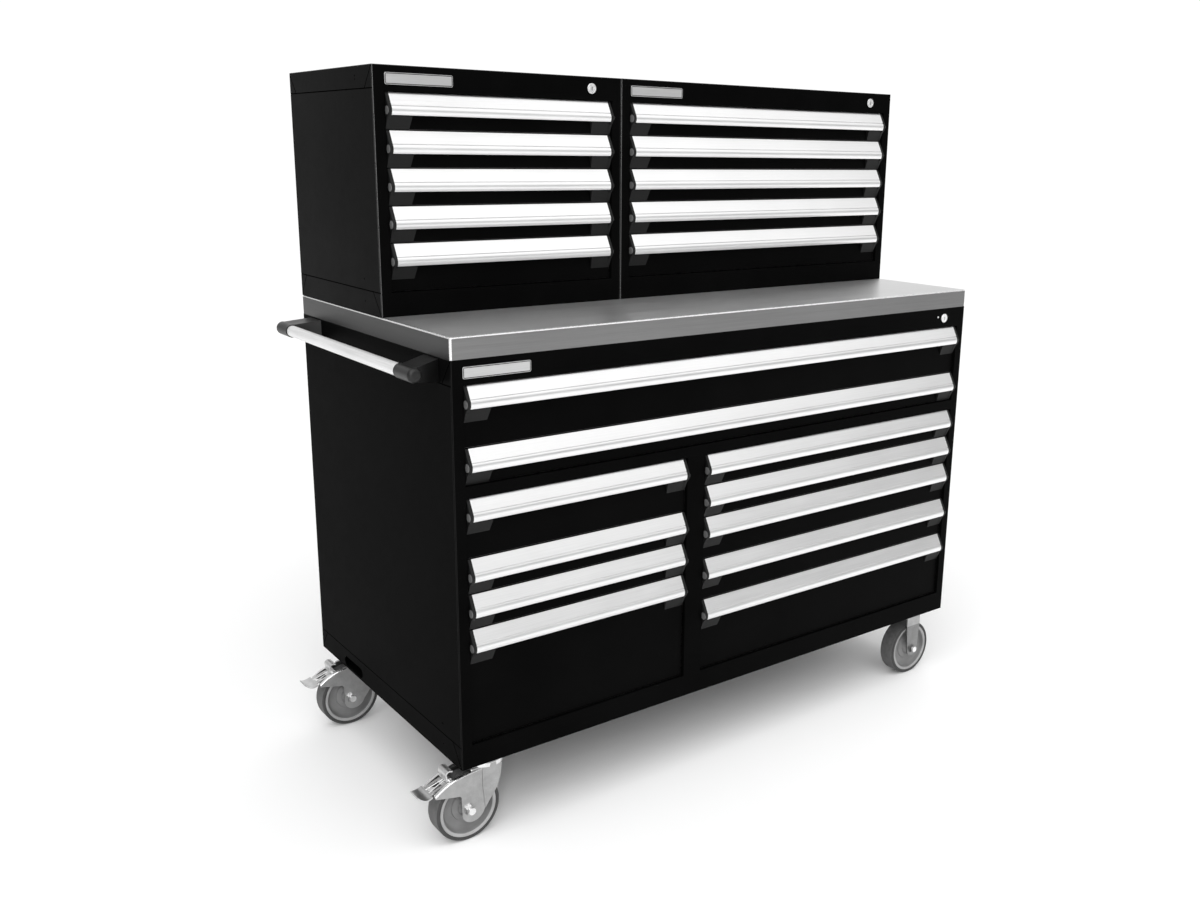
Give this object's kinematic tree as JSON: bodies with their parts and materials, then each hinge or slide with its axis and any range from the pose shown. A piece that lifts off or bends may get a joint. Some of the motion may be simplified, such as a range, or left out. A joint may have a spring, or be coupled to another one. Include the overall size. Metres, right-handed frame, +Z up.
{
  "type": "rolling tool chest",
  "caption": "Rolling steel tool chest: a wide drawer cabinet on casters with a push handle, a steel worktop, and two drawer hutches on top.",
  "frame": {"origin": "on the floor under the middle of the bounding box", "axes": "+Z up, +Y from the drawer fronts to the back, +X to the right as seen from the front"},
  "size_m": [1.6054, 0.774, 1.6091],
  "materials": {
    "cabinet_black": "semi-gloss powder coat",
    "drawer_black": "semi-gloss powder coat",
    "pull_aluminium": "satin anodised",
    "pull_cap_plastic": "fine moulded texture",
    "worktop_steel": "brushed along its length",
    "handle_aluminium": "satin anodised",
    "handle_plastic": "fine moulded texture",
    "runner_zinc": "bright zinc",
    "lock_chrome": "polished",
    "caster_zinc": "bright zinc",
    "brake_zinc": "bright zinc",
    "wheel_tread": "matt non-marking rubber",
    "wheel_core": "moulded grey nylon"
  },
  "bodies": {
    "chest": {"base_cabinet": "cabinet_black", "worktop": "worktop_steel", "hutch_left_cabinet": "cabinet_black", "hutch_right_cabinet": "cabinet_black", "push_handle": "handle_aluminium", "drawer_runners": "runner_zinc", "caster_mounts": "caster_zinc"},
    "caster_front_left": {"swivel_fork_front": "caster_zinc"},
    "caster_rear_left": {"swivel_fork_rear": "caster_zinc"},
    "wheel_front_left": {"wheel_front_left": "wheel_tread"},
    "wheel_rear_left": {"wheel_rear_left": "wheel_tread"},
    "wheel_front_right": {"wheel_front_right": "wheel_tread"},
    "wheel_rear_right": {"wheel_rear_right": "wheel_tread"},
    "brake_front": {"brake_pedal_front": "brake_zinc"},
    "brake_rear": {"brake_pedal_rear": "brake_zinc"},
    "base_lock_plug": {"base_lock": "lock_chrome"},
    "hutch_left_lock_plug": {"hutch_left_lock": "lock_chrome"},
    "hutch_right_lock_plug": {"hutch_right_lock": "lock_chrome"},
    "base_wide_drawer_1": {"base_wide_drawer_1_box": "drawer_black", "base_wide_drawer_1_pull": "pull_aluminium"},
    "base_left_drawer_1": {"base_left_drawer_1_box": "drawer_black", "base_left_drawer_1_pull": "pull_aluminium"},
    "base_right_drawer_1": {"base_right_drawer_1_box": "drawer_black", "base_right_drawer_1_pull": "pull_aluminium"},
    "hutch_left_drawer_1": {"hutch_left_drawer_1_box": "drawer_black", "hutch_left_drawer_1_pull": "pull_aluminium"},
    "hutch_right_drawer_1": {"hutch_right_drawer_1_box": "drawer_black", "hutch_right_drawer_1_pull": "pull_aluminium"},
    "base_wide_drawer_2": {"base_wide_drawer_2_box": "drawer_black", "base_wide_drawer_2_pull": "pull_aluminium"},
    "base_left_drawer_2": {"base_left_drawer_2_box": "drawer_black", "base_left_drawer_2_pull": "pull_aluminium"},
    "base_left_drawer_3": {"base_left_drawer_3_box": "drawer_black", "base_left_drawer_3_pull": "pull_aluminium"},
    "base_left_drawer_4": {"base_left_drawer_4_box": "drawer_black", "base_left_drawer_4_pull": "pull_aluminium"},
    "base_right_drawer_2": {"base_right_drawer_2_box": "drawer_black", "base_right_drawer_2_pull": "pull_aluminium"},
    "base_right_drawer_3": {"base_right_drawer_3_box": "drawer_black", "base_right_drawer_3_pull": "pull_aluminium"},
    "base_right_drawer_4": {"base_right_drawer_4_box": "drawer_black", "base_right_drawer_4_pull": "pull_aluminium"},
    "base_right_drawer_5": {"base_right_drawer_5_box": "drawer_black", "base_right_drawer_5_pull": "pull_aluminium"},
    "hutch_left_drawer_2": {"hutch_left_drawer_2_box": "drawer_black", "hutch_left_drawer_2_pull": "pull_aluminium"},
    "hutch_left_drawer_3": {"hutch_left_drawer_3_box": "drawer_black", "hutch_left_drawer_3_pull": "pull_aluminium"},
    "hutch_left_drawer_4": {"hutch_left_drawer_4_box": "drawer_black", "hutch_left_drawer_4_pull": "pull_aluminium"},
    "hutch_left_drawer_5": {"hutch_left_drawer_5_box": "drawer_black", "hutch_left_drawer_5_pull": "pull_aluminium"},
    "hutch_right_drawer_2": {"hutch_right_drawer_2_box": "drawer_black", "hutch_right_drawer_2_pull": "pull_aluminium"},
    "hutch_right_drawer_3": {"hutch_right_drawer_3_box": "drawer_black", "hutch_right_drawer_3_pull": "pull_aluminium"},
    "hutch_right_drawer_4": {"hutch_right_drawer_4_box": "drawer_black", "hutch_right_drawer_4_pull": "pull_aluminium"},
    "hutch_right_drawer_5": {"hutch_right_drawer_5_box": "drawer_black", "hutch_right_drawer_5_pull": "pull_aluminium"}
  },
  "joints": [
    {"name": "front_left_swivel", "type": "hinge", "parent": "chest", "child": "caster_front_left", "pos_m": [-0.63725, -0.31219, 0.1716], "axis": [0, 0, 1], "continuous": true},
    {"name": "rear_left_swivel", "type": "hinge", "parent": "chest", "child": "caster_rear_left", "pos_m": [-0.63725, 0.32421, 0.1716], "axis": [0, 0, 1], "continuous": true},
    {"name": "front_left_wheel", "type": "hinge", "parent": "caster_front_left", "child": "wheel_front_left", "pos_m": [-0.68755, -0.31219, 0.075], "axis": [0, 1, 0], "continuous": true},
    {"name": "rear_left_wheel", "type": "hinge", "parent": "caster_rear_left", "child": "wheel_rear_left", "pos_m": [-0.68755, 0.32421, 0.075], "axis": [0, 1, 0], "continuous": true},
    {"name": "front_right_wheel", "type": "hinge", "parent": "chest", "child": "wheel_front_right", "pos_m": [0.72725, -0.31219, 0.075], "axis": [0, 1, 0], "continuous": true},
    {"name": "rear_right_wheel", "type": "hinge", "parent": "chest", "child": "wheel_rear_right", "pos_m": [0.72725, 0.32421, 0.075], "axis": [0, 1, 0], "continuous": true},
    {"name": "front_brake", "type": "hinge", "parent": "caster_front_left", "child": "brake_front", "pos_m": [-0.72925, -0.31219, 0.152], "axis": [0, -1, 0], "range_deg": [0, 10]},
    {"name": "rear_brake", "type": "hinge", "parent": "caster_rear_left", "child": "brake_rear", "pos_m": [-0.72925, 0.32421, 0.152], "axis": [0, -1, 0], "range_deg": [0, 10]},
    {"name": "base_lock_turn", "type": "hinge", "parent": "chest", "child": "base_lock_plug", "pos_m": [0.71955, -0.37499, 1.0306], "axis": [0, 1, 0], "range_deg": [0, 90]},
    {"name": "hutch_left_lock_turn", "type": "hinge", "parent": "chest", "child": "hutch_left_lock_plug", "pos_m": [-0.19485, -0.07019, 1.58305], "axis": [0, 1, 0], "range_deg": [0, 90]},
    {"name": "hutch_right_lock_turn", "type": "hinge", "parent": "chest", "child": "hutch_right_lock_plug", "pos_m": [0.71955, -0.07019, 1.58305], "axis": [0, 1, 0], "range_deg": [0, 90]},
    {"name": "base_wide_drawer_1_slide", "type": "slide", "parent": "chest", "child": "base_wide_drawer_1", "axis": [0, -1, 0], "range_m": [0, 0.66]},
    {"name": "base_left_drawer_1_slide", "type": "slide", "parent": "chest", "child": "base_left_drawer_1", "axis": [0, -1, 0], "range_m": [0, 0.66]},
    {"name": "base_right_drawer_1_slide", "type": "slide", "parent": "chest", "child": "base_right_drawer_1", "axis": [0, -1, 0], "range_m": [0, 0.66]},
    {"name": "hutch_left_drawer_1_slide", "type": "slide", "parent": "chest", "child": "hutch_left_drawer_1", "axis": [0, -1, 0], "range_m": [0, 0.38]},
    {"name": "hutch_right_drawer_1_slide", "type": "slide", "parent": "chest", "child": "hutch_right_drawer_1", "axis": [0, -1, 0], "range_m": [0, 0.38]},
    {"name": "base_wide_drawer_2_slide", "type": "slide", "parent": "chest", "child": "base_wide_drawer_2", "axis": [0, -1, 0], "range_m": [0, 0.66]},
    {"name": "base_left_drawer_2_slide", "type": "slide", "parent": "chest", "child": "base_left_drawer_2", "axis": [0, -1, 0], "range_m": [0, 0.66]},
    {"name": "base_left_drawer_3_slide", "type": "slide", "parent": "chest", "child": "base_left_drawer_3", "axis": [0, -1, 0], "range_m": [0, 0.66]},
    {"name": "base_left_drawer_4_slide", "type": "slide", "parent": "chest", "child": "base_left_drawer_4", "axis": [0, -1, 0], "range_m": [0, 0.66]},
    {"name": "base_right_drawer_2_slide", "type": "slide", "parent": "chest", "child": "base_right_drawer_2", "axis": [0, -1, 0], "range_m": [0, 0.66]},
    {"name": "base_right_drawer_3_slide", "type": "slide", "parent": "chest", "child": "base_right_drawer_3", "axis": [0, -1, 0], "range_m": [0, 0.66]},
    {"name": "base_right_drawer_4_slide", "type": "slide", "parent": "chest", "child": "base_right_drawer_4", "axis": [0, -1, 0], "range_m": [0, 0.66]},
    {"name": "base_right_drawer_5_slide", "type": "slide", "parent": "chest", "child": "base_right_drawer_5", "axis": [0, -1, 0], "range_m": [0, 0.66]},
    {"name": "hutch_left_drawer_2_slide", "type": "slide", "parent": "chest", "child": "hutch_left_drawer_2", "axis": [0, -1, 0], "range_m": [0, 0.38]},
    {"name": "hutch_left_drawer_3_slide", "type": "slide", "parent": "chest", "child": "hutch_left_drawer_3", "axis": [0, -1, 0], "range_m": [0, 0.38]},
    {"name": "hutch_left_drawer_4_slide", "type": "slide", "parent": "chest", "child": "hutch_left_drawer_4", "axis": [0, -1, 0], "range_m": [0, 0.38]},
    {"name": "hutch_left_drawer_5_slide", "type": "slide", "parent": "chest", "child": "hutch_left_drawer_5", "axis": [0, -1, 0], "range_m": [0, 0.38]},
    {"name": "hutch_right_drawer_2_slide", "type": "slide", "parent": "chest", "child": "hutch_right_drawer_2", "axis": [0, -1, 0], "range_m": [0, 0.38]},
    {"name": "hutch_right_drawer_3_slide", "type": "slide", "parent": "chest", "child": "hutch_right_drawer_3", "axis": [0, -1, 0], "range_m": [0, 0.38]},
    {"name": "hutch_right_drawer_4_slide", "type": "slide", "parent": "chest", "child": "hutch_right_drawer_4", "axis": [0, -1, 0], "range_m": [0, 0.38]},
    {"name": "hutch_right_drawer_5_slide", "type": "slide", "parent": "chest", "child": "hutch_right_drawer_5", "axis": [0, -1, 0], "range_m": [0, 0.38]}
  ]
}
